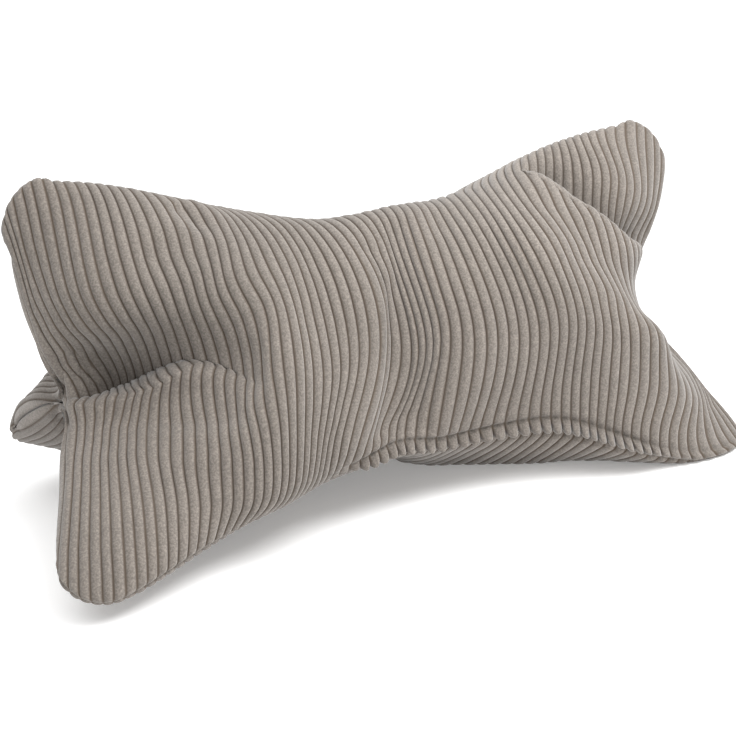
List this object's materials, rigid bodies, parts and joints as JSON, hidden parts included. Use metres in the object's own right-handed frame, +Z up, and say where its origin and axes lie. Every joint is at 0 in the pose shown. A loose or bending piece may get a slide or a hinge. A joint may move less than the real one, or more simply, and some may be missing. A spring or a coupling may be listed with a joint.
{
  "type": "bone-shaped reading pillow",
  "caption": "Filled bone-shaped pillow in wide-wale corduroy: three sewn panels, a narrow middle and rounded horns at both ends, resting on its belly.",
  "frame": {"origin": "middle of the pillow's box, on the surface it rests on", "axes": "+X along the pillow, to the right in the picture; -Y is its front; +Z up"},
  "size_m": [0.5, 0.259, 0.2422],
  "materials": {
    "corduroy": "ribbed pile, matt"
  },
  "bodies": {
    "root": {"pillow": "corduroy"}
  },
  "joints": []
}
